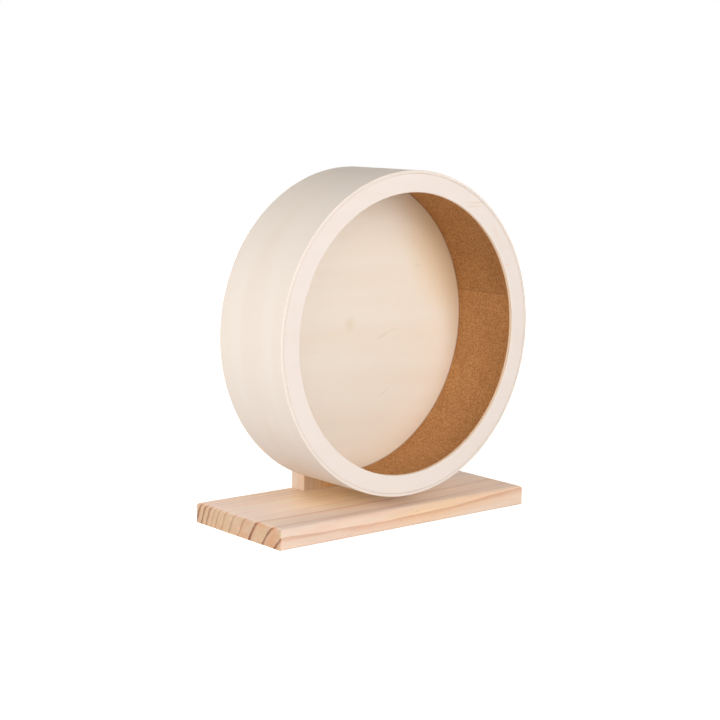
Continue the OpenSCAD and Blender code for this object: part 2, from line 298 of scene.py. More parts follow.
# %% Lamps
WHITE, COOL, WARM = (1.0, 0.985, 0.965), (0.97, 0.985, 1.0), (1.0, 0.93, 0.84)
LAMPS = (
    # name, degrees round from the front, degrees up, distance, size, watts, tint
    ("near left box", -95, 13, 1.3, 0.6, 7.8, COOL),
    ("left box", -80, 15, 2.3, 1.4, 7.6, COOL),
    ("high left box", -35, 32, 2.4, 1.2, 7.8, WHITE),
    ("front box", -12, 17, 2.3, 1.4, 17.6, WHITE),
    ("low front box", -2, 7, 2.0, 1.0, 11.9, WHITE),
    ("back box", 170, 30, 2.4, 1.4, 7.0, WARM),
    ("side box", 100, 22, 2.3, 1.4, 13.0, WARM),
    ("low back box", 165, 5, 2.6, 0.6, 21.0, WHITE),
)


def softbox(name, round_deg, up_deg, distance, size, watts, tint):
    lamp = bpy.data.lights.new(name, "AREA")
    lamp.shape = "SQUARE"
    lamp.size = size
    lamp.energy = watts
    lamp.color = tint
    holder = bpy.data.objects.new(name, lamp)
    scene.collection.objects.link(holder)
    turn, up = math.radians(round_deg), math.radians(up_deg)
    away = Vector((math.sin(turn) * math.cos(up), -math.cos(turn) * math.cos(up), math.sin(up)))
    holder.location = AXLE * MM + away * distance
    holder.rotation_euler = (-away).to_track_quat("-Z", "Y").to_euler()


for lamp_row in LAMPS:
    softbox(*lamp_row)

# %% [markdown]
# ## One way to start every finish
# Each finish reads Object coordinates in millimetres, so that a pattern has the scale of the real
# wood wherever the piece goes. Height is in millimetres too: the bump node then makes a groove of
# five hundredths look five hundredths deep. What is the same all over a surface is set on the
# shader's own sockets.

# %% Starting and ending a finish
def spaced(given):
    """The same values under the names that the sockets have, with spaces."""
    return {label.replace("_", " "): value for label, value in given.items()}


class Finish(Patch):
    """A material in the making, with the places that its patterns read."""

    def __init__(self, name, **same_all_over):
        self.material = bpy.data.materials.new(name)
        self.material.use_nodes = True
        super().__init__(self.material.node_tree)
        self.shader = self.tree.nodes["Principled BSDF"]
        for label, value in spaced(same_all_over).items():
            self.shader.inputs[label].default_value = value
        self.source = self.node("ShaderNodeTexCoord").outputs

    def framed(self, at, centre, turn_deg):
        """The place at, seen from centre and turned by those degrees."""
        turn = [math.radians(d) for d in turn_deg]
        return self.named(
            "ShaderNodeMapping", {"Vector": at, "Location": centre, "Rotation": turn},
            vector_type="TEXTURE",
        )

    def place(self, centre=(0.0, 0.0, 0.0), turn=(0.0, 0.0, 0.0)):
        """Millimetres from the point centre, turned by those degrees."""
        at = self.framed(self.source["Object"], Vector(centre) * MM, turn)
        return self.vector("SCALE", at, 1 / MM)

    def facing(self):
        """How far the surface faces each axis, 0 to 1."""
        return self.split(self.vector("ABSOLUTE", self.source["Normal"]))

    def streak(self, at, middle, lean, half_long, half_wide):
        """A soft patch in the X and Z of at, 1 in the middle, leaning by that many degrees."""
        turned = self.framed(at, (middle[0], 0, middle[1]), (0, -lean, 0))
        flat = self.vector("MULTIPLY", turned, (1 / half_long, 0.0, 1 / half_wide))
        return self.rise(self.vector("LENGTH", flat), 1.0, 0.15)

    def close(self, colour, roughness, height):
        """Wires the three maps in and hands the material back."""
        bump = self.named("ShaderNodeBump", {"Distance": MM, "Strength": 1.0, "Height": height})
        for label, value in (("Base Color", colour), ("Roughness", roughness), ("Normal", bump)):
            self.wire(value, self.shader.inputs[label])
        return self.material


def wear(material, *worn):
    """Puts a material on solids in place of the one that they came with."""
    for node in worn:
        materials = nodes[node].data.materials
        materials.clear()
        materials.append(material)

# %% [markdown]
# ## Pine
# A board is a slice of a trunk, and its lines are the year rings, which are rounded sheets round
# the pith. Each ring is pale spring wood that darkens to a thin line of autumn wood, and the next
# ring starts abruptly. Painted stripes would not meet at the corners. Instead the rings are worked
# out in space, from the distance to the pith, so the curves on the sawn end run on as
# straight lines along the top and the front. The rings are wide near the pith and narrow outside.
# What faces up is paler and greyer, a painted sheen, apart from one warmer patch of painted light
# in the shade of the drum. The sawn end shows open pores and a rosy tint towards the heart.

# %% Year rings
RING_RADII = (73, 90.7, 104.4, 120.5, 133.8, 146.7, 157, 165.4, 170.5, 177.4, 183.9, 190.8, 197, 203)
RING_LOW, RING_HIGH = 60.0, 215.0
RING_WIDE, RING_NARROWS = 6.3, 0.115
RING_OUTER = 187.0
LINE_MM = 1.7
SHADE_MM = 3.4


def ring_count(p, radius):
    """How many rings lie inside that radius, with its fraction."""
    made = p.node("ShaderNodeFloatCurve")
    line = made.mapping.curves[0]
    steps = len(RING_RADII) - 1
    spots = [((r - RING_LOW) / (RING_HIGH - RING_LOW), i / steps) for i, r in enumerate(RING_RADII)]
    line.points[0].location = spots[0]
    line.points[-1].location = spots[-1]
    for spot in spots[1:-1]:
        line.points.new(*spot)
    for point in line.points:
        point.handle_type = "VECTOR"
    made.mapping.update()
    share = p.math("DIVIDE", p.minus(radius, RING_LOW), RING_HIGH - RING_LOW)
    p.wire(share, made.inputs["Value"])
    return p.times(made.outputs[0], steps)


def late_wood(p, radius, strength, end):
    """The dark line that ends a ring and the shade before it. The line is wider on a sawn end."""
    before_line = p.minus(1.0, p.math("FRACT", ring_count(p, radius)))
    width = p.weighed((p.minus(RING_OUTER, radius), RING_NARROWS), (1.0, RING_WIDE))
    gap = p.times(before_line, width)
    reach = p.weighed((strength, 0.75 * LINE_MM), (end, 0.35 * LINE_MM), (1.0, 0.35 * LINE_MM))
    line = p.rise(p.math("DIVIDE", gap, reach), 1.6, 0.5)
    shade = p.math("EXPONENT", p.math("DIVIDE", gap, -SHADE_MM))
    return p.times(line, strength), p.times(shade, strength)

# %% Pine finish
# The grey-pink tone of a painted sheen on what faces up.
PAINTED_SHEEN_TONE = tone(222, 206, 197)
# Between which distances from the pith, in mm, the wood changes
DARK_HEART, ROSY_HEART, STRONG_OUTSIDE = (127.0, 119.0), (140.0, 124.0), (162.0, 184.0)


def pine(name, order, pith, start, length, bow, woods, lines, calm=1.0, glow=None):
    """Pine whose grain runs along the first axis of order, with the pith at two coordinates.

    woods are the pale, golden, pink and sawn-end colours, lines the late wood on a face, on a
    rounded edge and on the sawn end. calm below 1 makes the rings fainter. glow is a warmer patch
    of painted light in the shade of the drum, kept free of the painted sheen on what faces up: its
    middle and its half sizes in the same order, and its colour.
    """
    p = Finish(name, Specular_IOR_Level=0.5)
    sides = p.split(p.place())
    along, across, up = (sides[i] for i in order)
    grain = p.join(along, across, up)
    facing = p.facing()
    end = p.rise(facing[order[0]], 0.15, 0.95)
    rounded = p.times(p.rise(end, 0.0, 0.25), p.rise(end, 1.0, 0.6))
    side = p.rise(facing[order[1]], 0.4, 0.9)

    t = p.math("DIVIDE", p.minus(along, start), length)
    dip = p.math("SINE", p.times(t, math.pi))
    drift = p.weighed((p.times(t, t), bow[0]), (dip, -bow[1]))
    wander = p.minus(p.noise(grain, (150, 45, 45), 1.0), 0.5)
    wobble = p.minus(p.noise(grain, (26, 7, 7), 2.0), 0.5)
    off = p.join(0.0, p.minus(across, pith[0]), p.minus(up, pith[1]))
    radius = p.vector("LENGTH", off)
    radius = p.weighed((radius, 1.0), (drift, -1.0), (wander, 2.4), (wobble, 1.6))
    near_pith = p.rise(radius, *DARK_HEART)
    far_out = p.rise(radius, *STRONG_OUTSIDE)
    strength = p.math("MAXIMUM", near_pith, p.weighed((far_out, 0.42), (1.0, 0.40)))
    patchy = p.rise(p.noise(grain, (70, 16, 16), 1.0), 0.3, 0.7, 0.74, 1.0)
    strength = p.times(strength, calm)
    cut_across = p.weighed((end, 1.0), (rounded, 1.5))
    line, shade = late_wood(p, radius, p.times(strength, patchy), cut_across)

    pale, golden, blush, sawn = woods
    warmth = p.rise(p.noise(grain, (210, 38, 38), 1.5), 0.34, 0.66, 0.0, 0.8)
    colour = p.blend(warmth, pale, golden)
    shaded = 0.0
    # glow: a warmer, brighter patch of painted light in the shade of the drum.
    if glow:
        middle, half_sizes, glow_colour = glow
        spot = p.scaled(p.vector("SUBTRACT", grain, middle), half_sizes)
        shaded = p.rise(p.vector("LENGTH", spot), 1.3, 0.2)
        colour = p.blend(shaded, colour, glow_colour)
    flush = p.rise(p.noise(p.vector("ADD", grain, (90.0, 31.0, 7.0)), (90, 9, 9), 2.0), 0.44, 0.72)
    colour = p.blend(p.times(flush, 0.55), colour, blush)
    colour = p.blend(p.times(end, 0.8), colour, sawn)
    patch = p.rise(p.noise(grain, (60, 16, 12), 2.0), 0.46, 0.66)
    near_heart = p.rise(radius, *ROSY_HEART)
    rosy = p.weighed((near_heart, 0.06), (patch, 0.10), (p.times(near_heart, patch), 0.26))
    colour = p.blend(p.times(rosy, end), colour, lines[1])
    late = p.blend(rounded, p.blend(end, lines[0], lines[2]), lines[1])
    warm_edge = p.weighed((rounded, 0.4), (end, 0.10), (1.0, 0.34))
    colour = p.blend(p.times(shade, warm_edge), colour, lines[1])
    dark = p.weighed((end, 0.35), (rounded, 0.2), (side, -0.36), (1.0, 0.7))
    colour = p.blend(p.times(line, dark), colour, late)

    fibre = p.noise(grain, (34, 0.42, 0.42), 2.0, 0.6)
    streaks = p.noise(grain, (90, 1.9, 1.9), 2.0, 0.6)
    # Painted sheen: what faces up turns paler and greyer, except in the painted glow under the drum.
    painted_sheen = p.times(p.rise(facing[2], 0.6, 1.0), p.minus(1.0, shaded))
    colour = p.blend(p.times(painted_sheen, 0.38), colour, PAINTED_SHEEN_TONE)
    mottle = p.noise(grain, (24, 5, 5), 3.0, 0.6)
    colour = p.blend(p.rise(mottle, 0.52, 0.75, 0.0, 0.3), colour, blush)
    pores = p.times(p.noise(grain, 0.9, 2.0, 0.7), end)
    speckle = p.weighed((mottle, 0.12), (pores, 0.16), (end, -0.07), (side, -0.02))
    tint = p.weighed((fibre, 0.16), (streaks, 0.20), (speckle, 1.0), (1.0, 0.77))
    colour = p.tinted(colour, tint)
    resin = p.rise(p.cells(grain, (16, 1.3, 1.3)), 0.16, 0.07)
    resin = p.times(resin, p.rise(p.noise(grain, (40, 9, 9), 1.0), 0.5, 0.62))
    colour = p.blend(p.times(resin, 0.5), colour, lines[2])

    roughness = p.weighed((fibre, 0.16), (line, -0.08), (1.0, 0.44))
    height = p.weighed((line, 0.03), (fibre, 0.035), (streaks, 0.03), (resin, -0.02), (pores, 0.05))
    return p.close(colour, roughness, height)


board = pine(
    "pine board", (0, 1, 2), (-122.0, -55.0), base_low.x, base_high.x - base_low.x, (4.7, 2.5),
    (tone(241, 220, 203), tone(243, 205, 165), tone(242, 199, 175), tone(198, 168, 133)),
    (tone(206, 152, 116), tone(204, 124, 72), tone(122, 62, 20)),
    # glow: painted warm light on the top and front under the drum.
    glow=((-15.0, 12.0, 18.0), (88.0, 62.0, 60.0), tone(255, 228, 184)),
)
wear(board, "base_board")
upright = pine(
    "pine post", (2, 0, 1), (-150.0, -96.0), post_low.z, post_high.z - post_low.z, (5.0, 2.0),
    (tone(230, 216, 203), tone(230, 189, 141), tone(225, 187, 157), tone(199, 169, 137)),
    (tone(210, 160, 114), tone(206, 138, 88), tone(150, 100, 64)), calm=0.5,
    # glow: painted warm light on the post's front face, in the shade of the drum.
    glow=((28.0, 2.0, 40.0), (60.0, 34.0, 9.0), tone(255, 206, 142)),
)
wear(upright, "upright_post")
print("pine on", base_high.x - base_low.x, "mm of board and", post_high.z - post_low.z, "mm of post")

# %% [markdown]
# ## Plywood
# The ring, the panel and the hoop are plywood: thin sheets peeled from a pale, even wood such as
# poplar, glued with the grain crossed. The face shows faint bands and short fine pores, and the
# edge shows the sheets as stripes. Only the direction of the grain differs, so one recipe
# is given its along, across and depth axes: straight ones for the flat pieces, and for the hoop
# the way round it, which is the angle times the radius.

# %% Plywood recipe
SHEET_BLUR = 0.03


def plies(p, depth, thick, edge, colours):
    """The stripes of three glued sheets on an edge. depth goes from 0 to thick.

    colours are those of the outer sheets, the core and the glue, and half the glue line's width.
    """
    face_sheet, core_sheet, glue, glue_mm = colours
    third = thick / 3
    core = p.times(
        p.rise(depth, third - SHEET_BLUR, third + SHEET_BLUR),
        p.rise(depth, 2 * third + SHEET_BLUR, 2 * third - SHEET_BLUR),
    )
    near = p.math("PINGPONG", p.minus(depth, third), third / 2)
    seam = p.times(p.rise(near, glue_mm, glue_mm / 4), p.rise(depth, 0.2 * thick, 0.3 * thick))
    seam = p.times(seam, p.rise(depth, 0.8 * thick, 0.7 * thick))
    colour = p.blend(core, face_sheet, core_sheet)
    return p.blend(seam, colour, glue), p.times(seam, edge), p.times(core, edge)


def plywood(name, lay, thick, pale, deep, blush, edge_colours, marks=(), hoops=()):
    """lay(p) gives the place along, across and into the sheet, and how much the surface is an edge.

    marks are soft patches and hoops are tints round the axle, both on the near side only. A tint
    begins at one radius and is full at another, with a strength and a colour. Some of both are
    painted shade, as noted where they are given.
    """
    p = Finish(name, Specular_IOR_Level=0.3)
    along, across, depth, edge, at = lay(p)
    grain = p.join(along, across, p.times(depth, 0.2))
    bands = p.noise(grain, (240, 26, 20), 1.5, 0.5)
    stripe = p.noise(p.vector("ADD", grain, (57.0, 11.0, 3.0)), (130, 3.2, 8), 2.5, 0.55)
    fibre = p.noise(grain, (22, 0.55, 2), 2.0, 0.6)
    colour = p.blend(p.rise(bands, 0.30, 0.70), pale, deep)
    colour = p.blend(p.rise(stripe, 0.52, 0.85, 0.0, 0.4), colour, blush)
    near_side = p.rise(depth, 0.7 * thick, 0.3 * thick)
    for middle, lean, half_long, half_wide, strength, tint in marks:
        spot = p.times(p.streak(at, middle, lean, half_long, half_wide), near_side)
        colour = p.blend(p.times(spot, strength), colour, tint)
    from_axle = p.from_axle(at)
    # Tints round the axle, some of them painted shade.
    for first, full, strength, tint in hoops:
        stain_and_shade = p.times(p.rise(from_axle, first, full, 0.0, strength), near_side)
        colour = p.blend(stain_and_shade, colour, tint, "MULTIPLY")
    pores = p.rise(p.cells(grain, (5.5, 0.55, 2.0)), 0.24, 0.10)
    pores = p.times(pores, p.rise(p.noise(grain, (30, 8, 8), 1.0), 0.42, 0.60))
    colour = p.blend(p.times(pores, 0.16), colour, deep, "MULTIPLY")
    tint = p.weighed((fibre, 0.06), (stripe, 0.02), (1.0, 0.96))
    sides, seam, core = plies(p, depth, thick, edge, edge_colours)
    colour = p.blend(edge, colour, sides)
    colour = p.tinted(colour, tint)
    roughness = p.weighed((fibre, 0.14), (stripe, 0.08), (1.0, 0.46))
    height = p.weighed((fibre, 0.02), (stripe, 0.025), (pores, -0.02), (seam, -0.03), (core, -0.01))
    return p.close(colour, roughness, height)


EDGE_PLIES = (tone(255, 240, 214), tone(255, 242, 226), tone(234, 168, 112), 0.22)


def flat_lay(front_y):
    """The lay of a flat sheet that faces the front, with its grain level."""

    def lay(p):
        at = p.place(AXLE)
        x, y, z = p.split(at)
        edge = p.rise(p.facing()[1], 0.8, 0.3)
        return x, z, p.minus(y, front_y), edge, at

    return lay


# %% Ring and panel
PLY_T = ring_high.y - ring_low.y
ring_marks = (
    ((73.0, 111.5), 0.0, 18.0, 1.1, 0.6, tone(232, 206, 190)),
    ((71.0, 108.0), 0.0, 15.0, 0.9, 0.5, tone(232, 206, 190)),
    ((98.0, 84.0), -50.0, 12.0, 3.0, 0.35, tone(240, 212, 196)),
    ((112.0, 55.0), 10.0, 10.0, 1.6, 0.35, tone(236, 210, 196)),
)
panel_marks_and_painted_shade = (
    ((39.0, -12.5), 22.0, 11.0, 1.8, 0.28, tone(222, 200, 180)),
    ((52.0, -8.0), 12.0, 10.0, 1.4, 0.20, tone(222, 200, 180)),
    ((80.0, 49.5), -4.0, 8.0, 0.9, 0.30, tone(206, 178, 146)),
    ((41.0, -65.0), 29.0, 13.0, 1.3, 0.20, tone(228, 202, 180)),
    # Painted warm shade, with the cork's reflected colour, along the upper right of the rim.
    ((108.0, 62.0), -60.0, 112.0, 49.0, 0.80, tone(236, 213, 178)),
    ((-0.5, 0.5), 0.0, 8.0, 10.0, 0.35, tone(228, 214, 186)),
)
ring_ply = plywood(
    "ring plywood", flat_lay(ring_low.y), PLY_T,
    tone(240, 230, 224), tone(239, 228, 221), tone(238, 220, 211), EDGE_PLIES, ring_marks,
    # A dark line at the seam with the hoop: partly dust in the groove, partly painted shade of the
    # seam.
    ((137.0, 137.3, 0.40, tone(190, 156, 126)),),
)
wear(ring_ply, "front_ring")
panel_ply = plywood(
    "panel plywood", flat_lay(panel_low.y), PLY_T,
    tone(246, 239, 228), tone(245, 235, 222), tone(244, 232, 214), EDGE_PLIES, panel_marks_and_painted_shade,
    # Painted warm shade and cork-coloured reflected light towards the rim, and a painted shadow line
    # in the corner where the cork meets the panel.
    ((108.0, 138.0, 0.20, tone(250, 230, 186)), (132.2, 133.4, 0.6, tone(160, 116, 80))),
)
wear(panel_ply, "back_panel", "centre_plug")
print("flat plywood", round(PLY_T, 2), "mm thick")

# %% Hoop plywood
HOOP_JOINT_DEG = 340.0


def round_lay(p):
    """The lay of a strip bent round the axle: its grain runs round, and its plies lie outwards."""
    at = p.place(AXLE, (0.0, 180.0 - HOOP_JOINT_DEG, 0.0))
    x, y, z = p.split(at)
    angle = p.math("ARCTAN2", z, x)
    along = p.times(angle, HOOP_R)
    edge = p.rise(p.facing()[1], 0.3, 0.8)
    depth = p.minus(HOOP_R, p.from_axle(at))
    return along, y, depth, edge, at


hoop_ply = plywood(
    "bent plywood", round_lay, HOOP_T,
    tone(231, 220, 210), tone(229, 217, 205), tone(226, 211, 199),
    (tone(244, 233, 226), tone(242, 231, 223), tone(232, 216, 202), 0.12),
)

# %% [markdown]
# ## Cork
# The lining is pressed cork: crumbs of bark of about a millimetre, each with its own tone, glued
# into a sheet and cut. Cells of a Voronoi texture are such crumbs. A second set, half their size,
# breaks them up, a few crumbs are darker or paler, and the seams between them lie a little lower.
# The strip is a little paler at one end, so the joint where its ends meet can be seen.

# %% Cork finish
CRUMB_MM = 1.2
CRUMB_RELIEF_MM = 0.12
CRUMB_TONE_MM = 0.95
CORK_JOINT_DEG = 11.0


def cork():
    p = Finish("pressed cork", Specular_IOR_Level=0.12)
    at = p.place(AXLE, (0.0, 180.0 - CORK_JOINT_DEG, 0.0))
    x, y, z = p.split(at)
    along = p.math("DIVIDE", p.math("ARCTAN2", z, x), math.tau)
    bent = p.vector("ADD", at, p.vector("SCALE", p.noise(at, 2.2, 2.0), 0.5))
    random = p.split(p.cells(bent, CRUMB_TONE_MM, out=1))
    seam = p.rise(p.cells(bent, CRUMB_TONE_MM, "DISTANCE_TO_EDGE"), 0.10, 0.0)
    fine = p.split(p.cells(at, CRUMB_TONE_MM * 0.5, out=1))
    colour = p.blend(p.rise(random[0], 0.0, 1.0), tone(198, 138, 83), tone(227, 173, 118))
    colour = p.blend(p.rise(random[1], 0.86, 0.97, 0.0, 0.35), colour, tone(150, 96, 56))
    colour = p.blend(p.rise(random[2], 0.92, 0.97, 0.0, 0.6), colour, tone(244, 188, 128))
    tint = p.weighed((fine[0], 0.18), (p.noise(at, 30.0, 2.0), 0.22), (along, 0.10), (1.0, 0.71))
    colour = p.tinted(colour, tint)
    colour = p.blend(p.times(seam, 0.18), colour, tone(150, 98, 60))
    roughness = p.weighed((random[2], 0.12), (1.0, 0.76))
    height = p.weighed((seam, -0.07), (random[0], 0.05), (fine[1], 0.03))
    return p.close(colour, roughness, height)


cork_finish = cork()

# %% [markdown]
# ## Beech, steel and nylon
# The hub block and the dowels are beech, which shows short brown flecks all over. The bolt, the
# nut and the washers are zinc plated: pale and a little uneven. The bearings are ground steel
# with fine lines round the axle. The cage and the ring in the nut are nylon, which is smooth and
# slightly milky.

# %% Hardware finishes
TOOL_MARKS = 9.0


def beech():
    p = Finish("beech", Specular_IOR_Level=0.3)
    at = p.place(AXLE)
    bands = p.noise(at, (130, 12, 9), 2.0)
    fibre = p.noise(at, (26, 0.5, 0.5), 2.0, 0.6)
    fleck = p.rise(p.cells(at, (3.6, 0.9, 0.7)), 0.30, 0.16)
    colour = p.blend(p.rise(bands, 0.3, 0.7), tone(226, 196, 160), tone(214, 178, 138))
    colour = p.blend(p.times(fleck, 0.35), colour, tone(178, 128, 86))
    tint = p.weighed((fibre, 0.14), (1.0, 0.92))
    colour = p.tinted(colour, tint)
    tool = p.math("SINE", p.times(p.from_axle(at), TOOL_MARKS))
    height = p.weighed((fibre, 0.03), (fleck, -0.01), (tool, 0.004))
    return p.close(colour, p.weighed((fibre, 0.15), (1.0, 0.5)), height)


def steel(name, colour_a, colour_b, rough_low, rough_high, line_mm):
    """Metal with fine lines round the axle and a faint cloudiness."""
    p = Finish(name, Metallic=1.0)
    at = p.place(AXLE)
    x, y, z = p.split(at)
    lines = p.noise(p.join(p.from_axle(at), y, 0.0), line_mm, 2.0, 0.6)
    cloud = p.noise(at, 3.0, 3.0, 0.6)
    colour = p.blend(cloud, colour_a, colour_b)
    share = p.weighed((cloud, 0.6), (lines, 0.4))
    roughness = p.rise(share, 0.3, 0.7, rough_low, rough_high)
    return p.close(colour, roughness, p.weighed((lines, 0.006), (cloud, 0.004)))


def nylon():
    p = Finish("nylon", Subsurface_Weight=0.15, IOR=1.53)
    p.shader.inputs["Subsurface Radius"].default_value = (MM, MM, MM)
    at = p.place()
    cloud = p.noise(at, 2.0, 2.0)
    colour = p.blend(cloud, tone(232, 230, 218), tone(222, 220, 208))
    return p.close(colour, p.rise(cloud, 0.2, 0.8, 0.34, 0.46), p.weighed((cloud, 0.01)))


beech_wood = beech()
zinc = steel("zinc plate", tone(180, 183, 188), tone(152, 156, 163), 0.26, 0.42, 0.35)
ground_steel = steel("ground steel", tone(176, 178, 182), tone(158, 161, 166), 0.14, 0.26, 0.12)
milky_nylon = nylon()
wear(beech_wood, "hub_block", "post_dowels")
wear(zinc, "post_screws", "axle_bolt", "hub_spacer", "ring_spacer", "axle_washer", "lock_nut")
wear(milky_nylon, "front_cage", "rear_cage", "nut_insert")
for place_name in ("front_", "rear_"):
    for part_name in ("outer_ring", "inner_ring", "shields", "balls"):
        wear(ground_steel, place_name + part_name)
print("finishes:", [m.name for m in bpy.data.materials if m.users])

# %% [markdown]
# ## Bent strips
# The hoop is a strip of plywood that was bent round a form, and the cork is a strip laid inside it.
# They could be cylinders with a hole, but then the ends that meet, the sanded edges and the
# unevenness of the surface would be missing. So a Geometry Nodes tree sweeps a drawn section
# along an arc round the axle. The section is a plain curve, made only for the tree to read.

# %% Helpers for Geometry Nodes
def geometry_tree(name, *inputs):
    """A new tree with named inputs. Gives the tree, its patch and its input sockets."""
    tree = bpy.data.node_groups.new(name, "GeometryNodeTree")
    for label, kind in inputs:
        tree.interface.new_socket(label, in_out="INPUT", socket_type="NodeSocket" + kind)
    tree.interface.new_socket("Geometry", in_out="OUTPUT", socket_type="NodeSocketGeometry")
    p = Patch(tree)
    given = p.node("NodeGroupInput").outputs
    return tree, p, {label: given[label] for label, kind in inputs}


def end_tree(p, geometry, finish):
    """Ends a tree in real geometry that wears its finish."""
    real = p.add("GeometryNodeRealizeInstances", geometry)
    dressed = p.named("GeometryNodeSetMaterial", {"Geometry": real, "Material": finish})
    p.wire(dressed, p.node("NodeGroupOutput").inputs[0])


def volume_mm3(mesh):
    """The volume inside a mesh, negative if its faces point inwards."""
    total = 0.0
    mesh.calc_loop_triangles()
    for triangle in mesh.loop_triangles:
        a, b, c = (mesh.vertices[i].co for i in triangle.vertices)
        total += a.dot(b.cross(c)) / 6
    return total / MM**3


def baked(holder):
    """The object's evaluated mesh as plain data, with the modifiers gone."""
    graph = bpy.context.evaluated_depsgraph_get()
    mesh = bpy.data.meshes.new_from_object(holder.evaluated_get(graph))
    holder.modifiers.clear()
    holder.data = mesh
    return mesh


SHARP = math.radians(35)
WELD_M = 1e-7


def grow(name, tree, values):
    """Runs a tree and keeps what it makes as a plain mesh. The section it read is taken away."""
    holder = bpy.data.objects.new(name, bpy.data.meshes.new(name))
    scene.collection.objects.link(holder)
    modifier = holder.modifiers.new(tree.name, "NODES")
    modifier.node_group = tree
    sockets = {s.name: s.identifier for s in tree.interface.items_tree if s.in_out == "INPUT"}
    for label, value in values.items():
        modifier[sockets[label]] = value
    mesh = baked(holder)
    if volume_mm3(mesh) < 0:
        mesh.flip_normals()
    mesh.shade_smooth()
    mesh.set_sharp_from_angle(angle=SHARP)
    even = holder.modifiers.new("even shading", "WEIGHTED_NORMAL")
    even.keep_sharp = True
    mesh = baked(holder)
    mesh.name = name
    drawn = values["Section"].data
    bpy.data.objects.remove(values["Section"])
    bpy.data.curves.remove(drawn)
    print(name, len(mesh.polygons), "faces,", round(volume_mm3(mesh)), "mm3")
    return holder


# %% The tree that sweeps a section
SWEEP_INPUTS = (
    ("Section", "Object"), ("Radius", "Float"), ("Start", "Float"), ("Sweep", "Float"),
    ("Segments", "Int"), ("Closed", "Bool"), ("Axis point", "Vector"), ("Turn", "Vector"),
)


def sweep_tree():
    """A section swept along an arc, or along a whole circle if Closed."""
    tree, p, given = geometry_tree("Swept section", *SWEEP_INPUTS)
    size = {"Resolution": given["Segments"], "Radius": given["Radius"]}
    angles = {"Start Angle": given["Start"], "Sweep Angle": given["Sweep"]}
    arc = p.named("GeometryNodeCurveArc", {**size, **angles}, mode="RADIUS")
    circle = p.named("GeometryNodeCurvePrimitiveCircle", size, mode="RADIUS")
    path = p.add("GeometryNodeSwitch", given["Closed"], arc, circle, input_type="GEOMETRY")
    path = p.named("GeometryNodeSetCurveNormal", {"Curve": path}, mode="Z_UP")
    drawn = p.named("GeometryNodeObjectInfo", {"Object": given["Section"]}, "Geometry")
    swept = p.named("GeometryNodeCurveToMesh", {
        "Curve": path, "Profile Curve": drawn, "Fill Caps": True,
    })
    welded = p.named("GeometryNodeMergeByDistance", {"Geometry": swept, "Distance": WELD_M})
    p.wire(welded, p.node("NodeGroupOutput").inputs[0])
    return tree


def sweep_in(p, given):
    """Puts the sweep tree into another tree as a group."""
    inputs = {label: given[label] for label, kind in SWEEP_INPUTS}
    return p.named("GeometryNodeGroup", inputs, node_tree=sweep)


sweep = sweep_tree()

# %% The section of a strip
ROUND_STEPS = 5
GROOVE_W, GROOVE_D = 0.05, 0.04


def strip_outline(thick, width, corner, inner, ply_joints=(), inner_step=None, outer_step=None):
    """Points (out, back) round a strip's section, in mm, with rounded corners and ply grooves.

    corner rounds the outer edges and inner the inner ones. A step cuts that long side up, so that
    a tree can make it uneven.
    """
    points = []

    def arc(out, back, radius, first_deg):
        for i in range(ROUND_STEPS + 1):
            a = math.radians(first_deg + 90 * i / ROUND_STEPS)
            points.append((out + radius * math.cos(a), back + radius * math.sin(a)))

    def long_side(out, first, last, step):
        count = max(1, round(abs(last - first) / step)) if step else 1
        points.extend((out, first + (last - first) * i / count) for i in range(1, count))

    def groove(joint, back, way):
        points.extend([
            (joint - way * GROOVE_W, back), (joint, back + way * GROOVE_D),
            (joint + way * GROOVE_W, back),
        ])

    arc(inner, inner, inner, 180)
    for joint in ply_joints:
        groove(joint, 0.0, 1)
    arc(thick - corner, corner, corner, 270)
    long_side(thick, corner, width - corner, outer_step)
    arc(thick - corner, width - corner, corner, 0)
    for joint in reversed(ply_joints):
        groove(joint, width, -1)
    arc(inner, width - inner, inner, 90)
    long_side(0.0, width - inner, inner, inner_step)
    return points


def section(name, points, centre, closed=True):
    """A curve through points (out, back), measured from a radius of centre mm."""
    curve = bpy.data.curves.new(name, "CURVE")
    curve.dimensions = "3D"
    spline = curve.splines.new("POLY")
    spline.points.add(len(points) - 1)
    for spot, (out, back) in zip(spline.points, points):
        spot.co = ((out - centre) * MM, -back * MM, 0.0, 1.0)
    spline.use_cyclic_u = closed
    holder = bpy.data.objects.new(name, curve)
    scene.collection.objects.link(holder)
    return holder


# %% The tree of a strip with one uneven face
CRUMB_TOP = 0.35


def sanded(p, cell):
    """Soft lumps, as much above the face as below it."""
    return p.minus(p.noise(cell, 1.0), 0.5)


def crumbs(p, cell):
    """A low peak in the middle of every crumb."""
    return p.minus(CRUMB_TOP, p.cells(cell, 1.0))


def strip_tree(name, height, cell_size, side, shape):
    """A bent strip whose face on one side of Face radius is pushed out and in by a shape."""
    tree, p, given = geometry_tree(
        name, *SWEEP_INPUTS, (height, "Float"), (cell_size, "Float"),
        ("Face radius", "Float"), ("Finish", "Material"),
    )
    strip = p.named("GeometryNodeTransform", {
        "Geometry": sweep_in(p, given), "Rotation": given["Turn"],
        "Translation": given["Axis point"],
    })
    where = p.node("GeometryNodeInputPosition").outputs[0]
    away = p.from_axle(p.vector("SUBTRACT", where, given["Axis point"]))
    on_face = p.math(side, away, given["Face radius"])
    cell = p.vector("DIVIDE", where, p.join(*[given[cell_size]] * 3))
    lift = p.times(p.times(shape(p, cell), given[height]), on_face)
    normal = p.node("GeometryNodeInputNormal").outputs[0]
    moved = p.named("GeometryNodeSetPosition", {
        "Geometry": strip, "Offset": p.vector("SCALE", normal, lift),
    })
    end_tree(p, moved, given["Finish"])
    return tree


